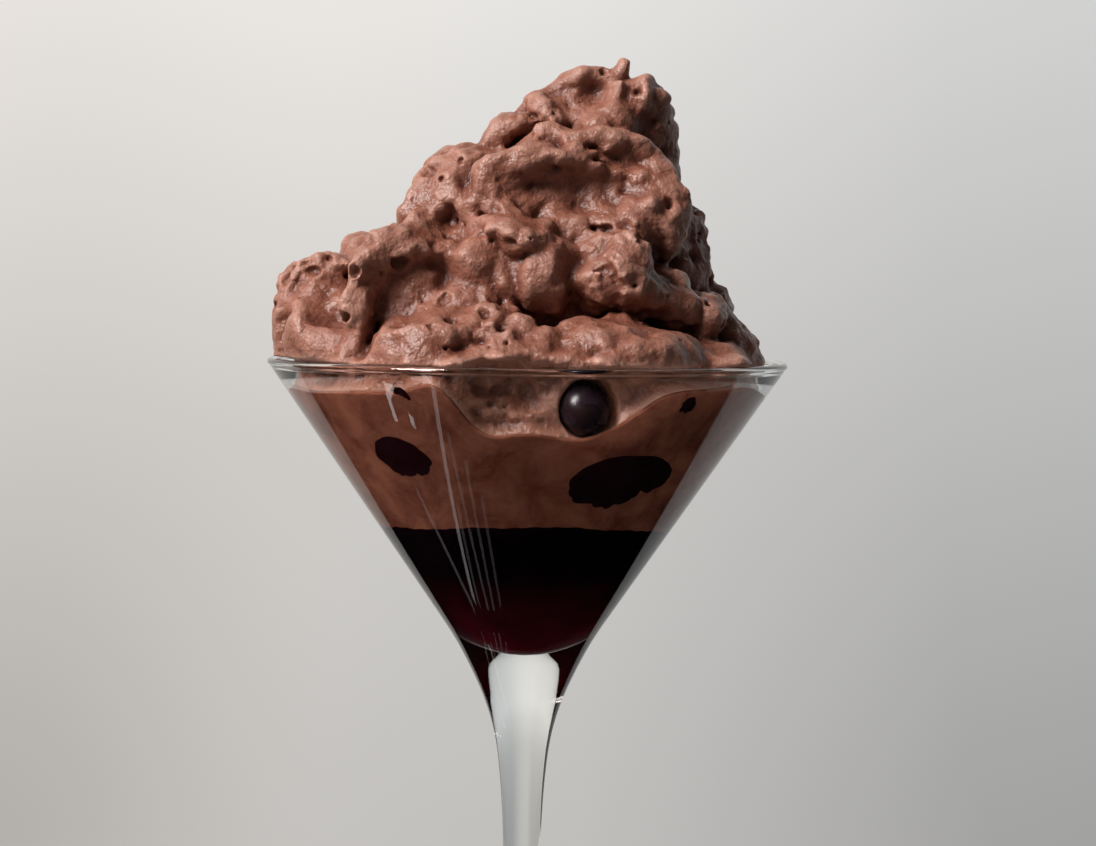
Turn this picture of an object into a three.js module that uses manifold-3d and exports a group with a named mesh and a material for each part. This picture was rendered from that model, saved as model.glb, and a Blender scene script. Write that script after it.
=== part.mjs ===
// Chocolate mousse heaped in a stemmed cocktail glass, over a layer of dark berry sauce.
// Millimetres, +Z up, origin at the middle of the underside of the foot.
import * as THREE from "three";
import { mergeVertices } from "three/addons/utils/BufferGeometryUtils.js";
import Module from "manifold-3d";

const wasm = await Module();
wasm.setup();

// ---------------------------------------------------------------- driving dimensions

const RIM_HEIGHT = 172; // from the table to the top of the lip
const RIM_RADIUS = 57.5; // outside of the bowl at the lip
const CONE_SLOPE = 0.676; // how much the inside widens for each millimetre of height
const WALL_ACROSS = 1.9; // thickness of the bowl wall, measured level
const INNER_DEPTH = 62.4; // from the lip to the bottom of the inside
const BOTTOM_ROUND = 12; // over which the bottom of the inside closes
const STEM_RADIUS = 4.1;
const FOOT_RADIUS = 39;
const FOOT_EDGE = 1.6; // thickness of the foot at its edge
const GAP = 0.3; // left between pieces that touch
const WALL_GAP = 0.4; // left to the wall and round the berries, where facets take some of it
const TURN_STEPS = 44; // facets round the glass

const SAUCE_DEPTH = 35.3; // from the lip down to the top of the sauce
const FILL_DEPTH = 2.5; // from the lip down to the level the bowl is full to
const AIR_SLOPE = 0.34; // how fast the mousse leaves the wall above its contact line
const OVERHANG_RADIUS = 57.2; // as far out as the heap reaches above the lip
const LUMP_LENGTH = 15; // from one soft lump to the next but one
const LUMP_LOW = 0.4; // height of the lumps on the smoothest dollops
const LUMP_HIGH = 1.2; // added to it on the knobbliest ones
const EDGE_LENGTH = 13.2; // of the triangles on a dollop
const ROLL_STEP = 5; // between the rings of a roll
const ROLL_SIDES = 7;
const RING_STEP = 3.2; // between the levels of the wavy contact line
const DEEPEST_CONTACT = 18;
const FINEST = 0.1; // joins leave no edges shorter than this

// The line where the mousse stops touching the wall: azimuth from the front in degrees,
// anticlockwise seen from above, and depth below the lip.
const CONTACT_LINE = [
  [-61, 6.2], [-49, 5.2], [-38, 5.1], [-31, 5.5], [-25, 2.6], [-21, 2.6], [-18, 6.5],
  [-15, 10.8], [-12, 13.5], [-8, 14.8], [-4, 13.8], [0, 13.4], [7, 14.1], [12, 15.4],
  [16, 14.5], [21, 12.6], [26, 10.4], [29, 8.2], [33, 5.6], [38, 4.2], [46, 4.0],
  [53, 4.4], [60, 2.8], [76, 5], [95, 9], [112, 13], [128, 10], [144, 6], [162, 9],
  [180, 13], [200, 9], [218, 5], [236, 8], [254, 11], [272, 7], [286, 4.2],
];

// Dollops, each an ellipsoid: x, y and height of its middle above the lip, half its width,
// depth and height, how far its top leans to the right in degrees, and how knobbly it is.
const DOLLOPS = {
  core_low: [0, 0, -2, 53, 53, 12, 0, 0.3],
  core_mid: [4, 6, 14, 33, 30, 18, 0, 0.3],
  core_top: [14, 6, 36, 15, 14, 21, 0, 0.4],

  shell: [-44.2, -8, 10, 10, 12, 12.4, -20, 0.7],
  shell_tongue: [-42, -20, 4, 11, 11, 10, -20, 0.1],
  back_lobe: [-31.5, 2, 19.6, 10.5, 11, 8.5, 0, 0.3],
  arch_back: [-27, -16.5, 13, 12, 14, 13.5, 0, 0.6],
  low_left: [-21, -34, 3, 12, 13, 9, -6, 0.2],
  left_mass: [-16.5, -6, 32, 9.5, 13, 14.5, 12, 0.9],
  left_mass_top: [-11.5, -7, 41, 7, 9, 6, 0, 0.8],
  left_root: [-14, -12, 21, 11, 12, 10, 0, 0.6],

  ball: [4.2, -26, 18.6, 8.4, 8.5, 7.4, -34, 0.08],
  ball_left: [-11.5, -22.5, 19.5, 6.5, 9.5, 7.5, 0, 0.05],
  under_ball: [-12, -23, 12.5, 10, 10, 5.5, 0, 1.0],
  shoulder: [-2.5, -23.5, 27, 8.2, 9.5, 4.2, 14, 1.0],
  fold_body: [8, -8, 38.5, 17, 13.5, 10, 0, 0.5],
  floor: [19, -9, 43, 9, 8.6, 6, 0, 0.2],
  valley_floor: [9, -14, 26, 9, 11, 9, 0, 0.3],
  plate: [21.5, -12, 31, 12, 13, 12.5, 0, 0.45],
  wet_mass: [20, -21.5, 19, 12, 12.5, 8.6, 14, 0.75],
  wet_edge: [30, -18, 14, 8.5, 10.5, 5, 20, 0.6],
  front_dome: [20, -34, 3.4, 16, 13, 8, 4, 0.3],
  middle_low: [-8, -33, 4.5, 10, 12, 8, 0, 1.0],
  right_lump: [39, -17, 10.3, 4.8, 8, 6, 15, 0.8],
  right_end: [44.4, -8, 3.6, 6.4, 11, 6.6, 28, 0.8],
  right_low: [39, -24, -1.5, 11, 12, 5, 0, 0.1],

  right_back_1: [26.2, 3, 51, 6, 9, 8, 0, 0.9],
  right_back_2: [28.2, 4, 41, 5.6, 9, 6.5, 0, 0.9],
  right_back_3: [31.2, 3, 29.6, 6.6, 9, 5.6, 0, 0.9],
  right_back_4: [31.6, 3, 21, 7.6, 12, 8, 0, 0.9],
  right_back_5: [35.6, 8, 9, 10.5, 16, 8.6, 10, 0.9],

  top: [12.5, -2, 57.6, 6.8, 7.5, 5.9, -4, 0.1],
  top_under: [16, -4, 51.5, 9.5, 9, 6, 0, 0.3],
  top_right: [25, -2, 56.6, 5, 6, 5.6, 10, 0.6],
  top_left: [5, -3, 52.2, 5.6, 7, 4.6, 10, 0.8],
  top_left_end: [-5.2, -3, 49.6, 5.6, 7.5, 3.9, -32, 0.7],

  back_high: [12, 12, 47, 13, 12, 12, 0, 0.6],
  back_curl: [18, 22, 30, 17, 13, 14, 12, 0.8],
  back_mid: [-5, 22, 25, 17, 15, 14, -15, 0.6],
  back_left: [-24, 24, 10, 18, 17, 13, -10, 0.8],
  back_low: [2, 37, 5, 25, 14, 11, 0, 0.4],
  back_right: [27, 28, 9, 18, 17, 13, 15, 0.8],
};

// Folds, each a roll of mousse laid along a bent line: where it starts, what pulls it round,
// where it ends, its two half-thicknesses, and how knobbly it is.
const FOLDS = {
  shell_rim: [[-52, -12, 2], [-54.6, -13, 23.5], [-40, -13, 19.5], 3.1, 3, 0.9],
  arch: [[-37, -31, -1], [-39.5, -32, 29], [-20, -22.5, 23.5], 4, 4, 0.7],
  lip: [[-8, -18.5, 34], [-10, -19.5, 46], [18, -17.5, 43.5], 4, 3.8, 0.9],
  ledge: [[3, -13, 48.6], [15, -17.5, 52], [26, -13, 44.6], 2.4, 2.8, 0.5],
  ridge: [[26, -14, 42.5], [33.5, -17, 37], [29.5, -20, 27.5], 2.8, 3.8, 0.3],
  tip: [[16, -2, 60.5], [20.5, -2, 61], [21.2, -2, 65.8], 3, 1.6, 0.1],
  top_slope: [[1, -3, 53.8], [6, -3, 58.4], [12, -3, 61.6], 2.7, 2.9, 0.6],
  back_roll: [[-20, 36, 10], [-6, 40, 34], [22, 36, 20], 5.2, 4.4, 0.8],
};

// Hollows left by the spoon, written as the dollops are.
const SCOOPS = {
  arch_hollow: [-27, -37.5, 15, 8, 7.6, 8.6, -10],
  scoop: [11, -30.5, 38, 14.5, 12, 7.4, -8],
  valley: [9, -36, 27, 4.5, 9, 9, -12],
  top_hollow: [14.5, -14, 58.6, 6.6, 8.6, 5, -10],
  front_hollow: [1, -53.5, -5, 18, 10, 8.5, 0],
  back_scoop: [10, 38, 38, 15, 9, 7, 20],
};

// Berries pressed against the wall: azimuth and depth below the lip of the middle, how far the
// middle lies inside the wall, half the size round, in and up, and the tilt of the long way.
const WALL_BERRIES = {
  berry_left: [-38.6, 18.9, 1.6, 6.9, 6, 3.9, -20],
  berry_right: [30.4, 23, 1.8, 11.9, 7, 6.2, 4],
  berry_bit_left: [-30.4, 5.5, 0.7, 2.4, 2.2, 1, -12],
  berry_bit_right: [41.6, 7.3, 0.8, 2.6, 2.6, 1.3, 10],
  berry_back_1: [152, 22, 1.4, 7.2, 6.2, 5.2, 10],
  berry_back_2: [-118, 25, 1.2, 6.2, 5.6, 4.6, -16],
};
const FRONT_BERRY = { azimuth: 16.2, depth: 8.6, inside: 7.2, radius: 5.6, height: 5.9 };
// Its socket in the mousse opens towards the wall: a second one lies further out and is wider.
const FRONT_POCKET = { wider: 1.25, outward: 4.5 };

const COLOURS = {
  glass: new THREE.MeshStandardMaterial({
    color: "#dfe6e4", roughness: 0.05, transparent: true, opacity: 0.3,
  }),
  mousse: new THREE.MeshStandardMaterial({ color: "#8d5b49", roughness: 0.5 }),
  sauce: new THREE.MeshStandardMaterial({ color: "#1a0408", roughness: 0.15 }),
  berry: new THREE.MeshStandardMaterial({ color: "#1d1219", roughness: 0.35 }),
};

// ---------------------------------------------------------------- helpers

const radians = THREE.MathUtils.degToRad;

// A closed three.js geometry as a solid that can be joined and cut.
function solid(geometry) {
  const bare = geometry.clone();
  bare.deleteAttribute("normal");
  bare.deleteAttribute("uv");
  const merged = mergeVertices(bare, 1e-4);
  const triVerts = new Uint32Array(merged.index.array);
  const vertProperties = new Float32Array(merged.attributes.position.array);
  const tolerance = FINEST;
  return new wasm.Manifold(
    new wasm.Mesh({ numProp: 3, vertProperties, triVerts, tolerance }),
  );
}

// A solid back as a named mesh.
function mesh(name, made, material) {
  const { numProp, numVert, vertProperties, triVerts } = made.getMesh();
  const position = new Float32Array(numVert * 3);
  for (let i = 0; i < numVert; i++)
    position.set(vertProperties.subarray(i * numProp, i * numProp + 3), i * 3);
  const geometry = new THREE.BufferGeometry();
  geometry.setAttribute("position", new THREE.BufferAttribute(position, 3));
  geometry.setIndex(new THREE.BufferAttribute(triVerts, 1));
  geometry.computeVertexNormals();
  const named = new THREE.Mesh(geometry, material);
  named.name = name;
  return named;
}

// A profile of [radius, height] points turned about the Z axis.
function turned(profile, steps = TURN_STEPS) {
  const points = profile.map(([radius, height]) => new THREE.Vector2(radius, height));
  return new THREE.LatheGeometry(points, steps).rotateX(Math.PI / 2);
}

// Points on an arc round [radius, height], from one angle to another in degrees.
function arc([radius, height], size, from, to, steps) {
  return Array.from({ length: steps + 1 }, (_, i) => {
    const angle = radians(from + ((to - from) * i) / steps);
    return [radius + size * Math.cos(angle), height + size * Math.sin(angle)];
  });
}

// Moves every vertex of a geometry to where place(vertex) puts it.
function moved(geometry, place) {
  const position = geometry.attributes.position;
  const point = new THREE.Vector3();
  for (let i = 0; i < position.count; i++) {
    place(point.fromBufferAttribute(position, i));
    position.setXYZ(i, point.x, point.y, point.z);
  }
  return geometry;
}

// ---------------------------------------------------------------- the glass

const LIP = WALL_ACROSS / 2; // the lip is a half round, this high
const innerBottom = RIM_HEIGHT - INNER_DEPTH;
const coneTilt = Math.atan(CONE_SLOPE);

// The radius of the inside of the bowl at a height: a cone that closes smoothly at the bottom.
function innerRadius(height) {
  const cone = RIM_RADIUS - WALL_ACROSS - CONE_SLOPE * (RIM_HEIGHT - LIP - height);
  const up = Math.max(height - innerBottom, 0);
  return cone * Math.sqrt(1 - Math.exp(-up / BOTTOM_ROUND));
}

// Heights above the bottom of the inside where its profile has a point, from the top down.
const INSIDE_LEVELS = [48, 38, 30, 23, 16, 10, 6, 3, 1, 0];

function glass() {
  const foot = [[0, 0], [FOOT_RADIUS - FOOT_EDGE / 2, 0]];
  foot.push(...arc([FOOT_RADIUS - FOOT_EDGE / 2, FOOT_EDGE / 2], FOOT_EDGE / 2, -45, 90, 3));
  foot.push([24, 2.6], [12, 4], [7.2, 6.5], [5, 11], [STEM_RADIUS + 0.2, 20]);
  const stem = [[STEM_RADIUS, 40], [STEM_RADIUS, 60]];
  const flare = [[4.5, 72], [5.2, 81], [6.6, 90], [9.1, 97.6], [12.8, 105.4], [17.3, 113]];
  const rim = arc([RIM_RADIUS - LIP, RIM_HEIGHT - LIP], LIP, 0, 180, 4);
  const inside = INSIDE_LEVELS.map((up) => [innerRadius(innerBottom + up), innerBottom + up]);
  return solid(turned([...foot, ...stem, ...flare, ...rim, ...inside]));
}

// ---------------------------------------------------------------- what fills it

// The sauce follows the inside of the bowl, a gap away from it.
function berrySauce() {
  const top = RIM_HEIGHT - SAUCE_DEPTH;
  const levels = INSIDE_LEVELS.map((up) => innerBottom + up + GAP).filter((level) => level < top);
  const wet = [top, ...levels].map((level) => [
    Math.max(innerRadius(level - GAP) - WALL_GAP, 0),
    level,
  ]);
  return solid(turned([...wet.reverse(), [0, top]]));
}

// The depth of the contact line at an azimuth, eased from each of its points to the next.
function contactDepth(azimuth) {
  const line = [...CONTACT_LINE, [CONTACT_LINE[0][0] + 360, CONTACT_LINE[0][1]]];
  const at = azimuth < line[0][0] ? azimuth + 360 : azimuth;
  const next = line.findIndex(([angle]) => angle >= at && angle > line[0][0]);
  const [[a0, d0], [a1, d1]] = [line[next - 1], line[next]];
  return THREE.MathUtils.lerp(d0, d1, THREE.MathUtils.smoothstep(at, a0, a1));
}

// How far out the mousse may reach, at a point: the wall below the contact line, a growing gap
// above it, and the overhang above the lip.
function reach(point) {
  const azimuth = THREE.MathUtils.radToDeg(Math.atan2(point.x, -point.y));
  const contact = RIM_HEIGHT - contactDepth(azimuth);
  const height = Math.min(point.z, RIM_HEIGHT);
  return innerRadius(height) - WALL_GAP - AIR_SLOPE * Math.max(height - contact, 0);
}

// The space that the mousse may fill: a turned blank whose sides are pushed out to that reach,
// with the overhang above the lip.
function room() {
  const base = RIM_HEIGHT - SAUCE_DEPTH + GAP;
  const top = RIM_HEIGHT + GAP;
  const levels = [base];
  for (let height = RIM_HEIGHT - DEEPEST_CONTACT; height < top; height += RING_STEP)
    levels.push(height);
  levels.push(top);
  const blank = 20;
  const profile = [[0, base], ...levels.map((height) => [blank, height])];
  profile.push([OVERHANG_RADIUS, top], [OVERHANG_RADIUS, top + 75], [0, top + 75]);
  return solid(
    moved(turned(profile), (point) => {
      const radius = Math.hypot(point.x, point.y);
      if (Math.abs(radius - blank) > 0.01) return;
      const scale = reach(point) / radius;
      point.x *= scale;
      point.y *= scale;
    }),
  );
}

// The mousse inside the bowl, a little too large all round: the room trims it.
function filling() {
  const spare = 2;
  const base = RIM_HEIGHT - SAUCE_DEPTH - spare;
  const top = RIM_HEIGHT - FILL_DEPTH;
  const [low, high] = [base, top].map((level) => innerRadius(level) + spare);
  return solid(turned([[0, base], [low, base], [high, top], [0, top]], 24));
}

// Soft lumps that run through all the mousse, between -1 and 1: three crossed, bent waves.
function lumps({ x, y, z }) {
  const across = x / LUMP_LENGTH;
  const back = y / LUMP_LENGTH;
  const up = (z - RIM_HEIGHT) / LUMP_LENGTH;
  return (
    Math.sin(6.3 * across + 1.3 * Math.sin(2.6 * back)) *
    Math.sin(6 * back + 1.1 * Math.sin(3.1 * up)) *
    Math.sin(6.7 * up + 1.2 * Math.sin(2.8 * across))
  );
}

// An ellipsoid of mousse, with its lumps pushed out along its own radii.
function dollop([x, y, h, width, depth, height, lean = 0, knobbly = 0], lumpy = true) {
  const largest = Math.max(width, depth, height);
  const detail = THREE.MathUtils.clamp(Math.round((1.1 * largest) / EDGE_LENGTH), 1, 8);
  const ball = new THREE.IcosahedronGeometry(1, detail).scale(width, depth, height);
  ball.rotateY(radians(lean));
  const middle = new THREE.Vector3(x, y, RIM_HEIGHT + h);
  const size = lumpy ? LUMP_LOW + LUMP_HIGH * knobbly : 0;
  return solid(
    moved(mergeVertices(ball.deleteAttribute("uv").deleteAttribute("normal"), 1e-4), (point) => {
      const away = point.clone().normalize();
      point.add(middle);
      point.addScaledVector(away, size * lumps(point));
    }),
  );
}

// A roll of mousse: a capsule bent along a line, thinning from one thickness to the other.
function fold([from, over, to, thickStart, thickEnd, knobbly]) {
  const line = new THREE.QuadraticBezierCurve3(
    new THREE.Vector3(...from),
    new THREE.Vector3(...over),
    new THREE.Vector3(...to),
  );
  const steps = Math.ceil(line.getLength() / ROLL_STEP);
  const capsule = new THREE.CapsuleGeometry(1, 1, 2, ROLL_SIDES, steps);
  capsule.deleteAttribute("uv");
  capsule.deleteAttribute("normal");
  const ahead = new THREE.Vector3();
  const side = new THREE.Vector3();
  const up = new THREE.Vector3();
  return solid(
    moved(mergeVertices(capsule, 1e-4), (point) => {
      const along = THREE.MathUtils.clamp(point.y + 0.5, 0, 1);
      const past = point.y + 0.5 - along;
      const thick = THREE.MathUtils.lerp(thickStart, thickEnd, along);
      line.getTangent(along, ahead);
      side.set(0, -1, 0).cross(ahead).normalize();
      up.crossVectors(side, ahead);
      const out = side.multiplyScalar(point.x).addScaledVector(up, point.z);
      out.addScaledVector(ahead, past);
      line.getPoint(along, point).addScaledVector(out, thick);
      point.z += RIM_HEIGHT;
      point.addScaledVector(out, (LUMP_LOW + LUMP_HIGH * knobbly) * lumps(point));
    }),
  );
}

// ---------------------------------------------------------------- the berries

// A berry against the wall, made larger by a margin for its socket.
function wallBerry([azimuth, depth, inside, round, deep, high, tilt], margin = 0) {
  const level = RIM_HEIGHT - depth;
  const radius = innerRadius(level) - inside;
  const ball = new THREE.IcosahedronGeometry(1, round > 4 ? 2 : 1)
    .scale(round + margin, deep + margin, high + margin)
    .rotateY(radians(-tilt))
    .rotateX(-coneTilt)
    .rotateZ(radians(azimuth));
  const turn = radians(azimuth);
  return solid(ball.translate(radius * Math.sin(turn), -radius * Math.cos(turn), level));
}

function frontBerry(margin = 0, outward = 0) {
  const { azimuth, depth, inside, radius, height } = FRONT_BERRY;
  const level = RIM_HEIGHT - depth;
  const out = innerRadius(level) - inside + outward;
  const turn = radians(azimuth);
  const ball = new THREE.IcosahedronGeometry(1, 2);
  ball.scale(radius + margin, radius + margin, height + margin);
  return solid(ball.translate(out * Math.sin(turn), -out * Math.cos(turn), level));
}

// ---------------------------------------------------------------- assembly

const join = (solids) => solids.reduce((whole, next) => whole.add(next));
const cut = (solid, tools) => tools.reduce((left, tool) => left.subtract(tool), solid);

function mousse(sockets) {
  const dollops = Object.values(DOLLOPS).map((size) => dollop(size));
  const folds = Object.values(FOLDS).map((size) => fold(size));
  const hollows = Object.values(SCOOPS).map((size) => dollop(size, false));
  const heap = cut(join([filling(), ...dollops, ...folds]), hollows);
  return cut(heap.intersect(room()), sockets);
}

// The largest of the bodies that cutting leaves; crumbs are dropped.
function whole(made) {
  return made.decompose().reduce((best, body) => (body.volume() > best.volume() ? body : best));
}

const inBowl = room();
const berries = Object.entries(WALL_BERRIES).map(([name, size]) => [
  name,
  wallBerry(size).intersect(inBowl),
]);
berries.push(["berry_front", frontBerry()]);

const sockets = Object.values(WALL_BERRIES).map((size) => wallBerry(size, WALL_GAP));
sockets.push(frontBerry(WALL_GAP), frontBerry(FRONT_POCKET.wider, FRONT_POCKET.outward));

const dessert = new THREE.Group();
dessert.add(mesh("glass", glass(), COLOURS.glass));
dessert.add(mesh("berry_sauce", berrySauce(), COLOURS.sauce));
dessert.add(mesh("mousse", whole(mousse(sockets)), COLOURS.mousse));
for (const [name, made] of berries) dessert.add(mesh(name, whole(made), COLOURS.berry));

export default dessert;
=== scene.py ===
# %% [markdown]
# # Chocolate mousse in a cocktail glass
#
# The real dessert is an airy mousse, spooned in a tall heap into a stemmed conical glass, over
# a dark berry sauce. Three things make it look right: the creases and bubble pits of the heap,
# the brown film that the mousse leaves where it is pressed on the wall, and the clear glass in
# front of it all. This notebook takes them one by one.
#
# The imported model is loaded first. It is the fixed frame: the new surfaces are measured from its
# boxes, and each takes the place of one of its solids.

# %% Loading the frame
import itertools
import math

import bpy
import numpy as np
from mathutils import Matrix, Vector


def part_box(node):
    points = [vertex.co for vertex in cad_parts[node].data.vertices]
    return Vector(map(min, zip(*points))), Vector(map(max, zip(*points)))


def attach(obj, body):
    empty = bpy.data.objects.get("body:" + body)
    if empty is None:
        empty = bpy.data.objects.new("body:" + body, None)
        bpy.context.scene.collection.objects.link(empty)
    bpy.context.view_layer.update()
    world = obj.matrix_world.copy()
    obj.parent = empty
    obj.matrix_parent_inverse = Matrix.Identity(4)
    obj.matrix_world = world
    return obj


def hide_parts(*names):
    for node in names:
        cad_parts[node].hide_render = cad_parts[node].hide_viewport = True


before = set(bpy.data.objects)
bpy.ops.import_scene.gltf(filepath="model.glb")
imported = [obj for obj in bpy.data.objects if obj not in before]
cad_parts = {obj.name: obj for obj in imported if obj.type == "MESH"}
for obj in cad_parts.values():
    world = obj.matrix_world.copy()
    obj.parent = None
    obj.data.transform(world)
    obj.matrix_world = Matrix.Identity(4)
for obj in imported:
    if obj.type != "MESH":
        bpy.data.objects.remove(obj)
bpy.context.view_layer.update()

MM = 0.001
glass_high = np.array(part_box("glass")[1]) / MM
RIM_RADIUS, RIM_HEIGHT = glass_high[0], glass_high[2]
print(f"rim {RIM_HEIGHT:.1f} mm up and {2 * RIM_RADIUS:.1f} mm across")

# %% [markdown]
# ## Camera
#
# The dessert is seen almost level, from just above the lip. A long lens would flatten every
# ellipse to a line and a short one would swell the front of the heap, so the camera stands 0.9 m
# away, as someone does who leans over the table. Small turns put the glass left of the middle
# and let it lean by less than a degree.

# %% Camera
CAMERA_AWAY = 900  # mm from the axis of the glass
CAMERA_OVER_RIM = 32  # mm
PICTURE_WIDTH = 1096  # pixels
SCALE = 4.52  # pixels for each millimetre at the axis
SENSOR = 36  # mm
TILT_DOWN, TURN_RIGHT, ROLL = 2.93, 0.30, 0.7  # degrees


def turn(degrees, axis):
    """The matrix of a turn round one axis."""
    return Matrix.Rotation(math.radians(degrees), 4, axis)


def put(name, data):
    """A new object in the scene."""
    made = bpy.data.objects.new(name, data)
    bpy.context.scene.collection.objects.link(made)
    return made


camera_data = bpy.data.cameras.new("camera")
camera_data.sensor_width = SENSOR
camera_data.lens = SENSOR * SCALE * CAMERA_AWAY / PICTURE_WIDTH
camera_data.clip_start = 0.01
camera = put("camera", camera_data)
place = Matrix.Translation((0, -CAMERA_AWAY * MM, (RIM_HEIGHT + CAMERA_OVER_RIM) * MM))
camera.matrix_world = place @ turn(-TURN_RIGHT, "Z") @ turn(90 - TILT_DOWN, "X") @ turn(ROLL, "Z")
bpy.context.scene.camera = camera
print(f"lens {camera_data.lens:.1f} mm")

# %% [markdown]
# ## Tools for every piece
#
# Each piece is an array of points in millimetres and an array of faces, so one function puts
# them into a mesh, hides the solid that the piece takes the place of and gives it its finish.
# Materials are node trees, so one function adds a node, sets its inputs and links them. Five
# short ones use it for what every finish here needs: two colours or two finishes mixed, a value
# moved from one range to another, a sum, and cloudy noise whose size is in millimetres.

# %% From arrays to a piece, and nodes to a finish
def piece(name, points, faces, node, slot, material, values=None):
    """A smooth mesh from points in mm and faces of 3 or 4 corners, riding in place of a solid.
    values holds a number for each point under an attribute's name."""
    mesh = bpy.data.meshes.new(name)
    mesh.from_pydata((np.asarray(points) * MM).tolist(), [], faces)
    mesh.polygons.foreach_set("use_smooth", np.ones(len(mesh.polygons), bool))
    for attribute, numbers in (values or {}).items():
        layer = mesh.attributes.new(attribute, "FLOAT", "POINT")
        layer.data.foreach_set("value", np.asarray(numbers, np.float32))
    mesh.materials.append(material)
    mesh.update()
    made = put(name, mesh)
    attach(made, "root")
    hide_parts(node)
    corners = sum(len(face) - 2 for face in faces)
    print(f"{name}: {len(points)} points, {corners} triangles")
    return made


def linear(colour):
    """An sRGB hex colour as linear red, green, blue and alpha."""
    parts = [int(colour[i : i + 2], 16) / 255 for i in (1, 3, 5)]
    return [c / 12.92 if c < 0.04045 else ((c + 0.055) / 1.055) ** 2.4 for c in parts] + [1]


def add(tree, kind, inputs=None, **settings):
    """Adds a shader node. An input is given a value, or linked where it is another's output."""
    node = tree.nodes.new("ShaderNode" + kind)
    for name, value in settings.items():
        setattr(node, name, value)
    for name, value in (inputs or {}).items():
        socket = node.inputs[name]
        if isinstance(value, bpy.types.NodeSocket):
            tree.links.new(value, socket)
        else:
            socket.default_value = value
    return node


def mix(tree, share, first, second):
    """The colour between two, each a hex colour or an output."""
    colours = [linear(colour) if isinstance(colour, str) else colour for colour in (first, second)]
    inputs = {0: share, 6: colours[0], 7: colours[1]}
    return add(tree, "Mix", inputs, data_type="RGBA").outputs[2]


def blend(tree, share, first, second):
    """The finish between two."""
    return add(tree, "MixShader", {0: share, 1: first, 2: second}).outputs[0]


def ramp(tree, value, start, end, first, last, **settings):
    """A value that goes from first to last while another goes from start to end."""
    inputs = dict(enumerate((value, start, end, first, last)))
    return add(tree, "MapRange", inputs, **settings).outputs[0]


def reckon(tree, operation, *values):
    """One step of arithmetic on values or outputs."""
    return add(tree, "Math", dict(enumerate(values)), operation=operation).outputs[0]


def noise(tree, place, size, detail, **inputs):
    """Cloudy noise from 0 to 1, with its size in mm."""
    inputs = {"Vector": place, "Scale": 1 / (size * MM), "Detail": detail, **inputs}
    return add(tree, "TexNoise", inputs).outputs[0]


def finish_named(name):
    """An empty material, with its node tree and its output."""
    material = bpy.data.materials.new(name)
    material.use_nodes = True
    material.node_tree.nodes.clear()
    return material, material.node_tree, add(material.node_tree, "OutputMaterial")


# %% [markdown]
# ## The finish of the mousse
#
# Chocolate mousse is a foam of cream, egg and chocolate. Its surface is moist and matt at once:
# the foam scatters light like chalk, and a thin film of fat on it gives small soft highlights
# on the edges of the bubbles. So the finish is a rough brown with a little light passing under
# the skin, a roughness that changes every few millimetres, and a fine bump of bubbles that are
# too small for the mesh. Creases hold less light and look redder, so a value that the mesh
# carries for its hollows paints a little shade into them, darker and redder. The same value
# paints a lighter sheen onto the ridges. Where the mousse is pressed on the glass it mirrors next
# to nothing, because glass and moist foam bend light almost alike. So the index there is close
# to 1, and the colour is that of a smeared film.

# %% Mousse
# painted sheen: the lighter colour mixed onto the ridges by the hollow value
MOUSSE_PAINTED_RIDGE_SHEEN = "#AD8272"
MOUSSE_LIGHT = "#986552"
MOUSSE_DARK = "#6B3C2D"
# painted shade: the darker, redder colour mixed into the creases by the hollow value
MOUSSE_PAINTED_CREASE_SHADE = "#40130A"
FILM_THIN = "#552B21"  # pressed on the glass
FILM_THICK = "#825140"
BUBBLE_GRAIN = 1.2  # mm, from one fine bubble to the next
BUBBLE_BUMP = 0.5  # mm, how high the fine bubbles look
TONE_PATCH = 11  # mm, across a lighter or darker patch
SMEAR = 9  # mm, across a smear of the film on the glass


def mousse_finish(name, pressed):
    """Moist aerated foam. pressed is how much of it was flattened against glass."""
    material, tree, output = finish_named(name)
    place = add(tree, "TexCoord").outputs["Object"]
    hollow = add(tree, "Attribute", attribute_name="hollow").outputs["Fac"]
    patch = noise(tree, place, TONE_PATCH, 4)
    grain = noise(tree, place, BUBBLE_GRAIN, 5)
    smear = noise(tree, place, SMEAR, 8, Roughness=0.65, Distortion=0.4)
    foam = mix(tree, patch, MOUSSE_DARK, MOUSSE_LIGHT)
    smeared = mix(tree, ramp(tree, smear, 0.35, 0.65, 0, 1), FILM_THIN, FILM_THICK)
    film = mix(tree, pressed, foam, smeared)
    # painted sheen: ridges, where the hollow value is below 0, turn lighter
    raised = mix(tree, ramp(tree, hollow, 0, -0.8, 0, 0.8), film, MOUSSE_PAINTED_RIDGE_SHEEN)
    bump = add(
        tree, "Bump",
        {"Height": grain, "Distance": BUBBLE_BUMP * MM * (1 - 0.8 * pressed), "Strength": 1.0},
    )
    skin = add(
        tree, "BsdfPrincipled",
        {
            # painted shade: creases, where the hollow value is above 0, turn darker and redder
            "Base Color": mix(tree, hollow, raised, MOUSSE_PAINTED_CREASE_SHADE),
            "Roughness": ramp(tree, patch, 0.35, 0.65, 0.32, 0.52),
            "IOR": 1.5 - 0.48 * pressed, "Normal": bump.outputs[0],
            "Subsurface Weight": 0.2, "Subsurface Scale": 1.2 * MM,
            "Subsurface Radius": (1, 0.45, 0.3),
        },
    )
    tree.links.new(skin.outputs[0], output.inputs["Surface"])
    return material


spooned_mousse = mousse_finish("spooned aerated mousse", pressed=0.0)
pressed_mousse = mousse_finish("mousse pressed on glass", pressed=0.9)

# %% [markdown]
# ## The inside of the bowl
#
# Everything in the glass is measured from its inner wall: a cone that closes smoothly at the
# bottom, where a blown bowl is thickest. One function gives its radius at a height, and serves
# the glass, the sauce, the mousse and the berries.

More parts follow.
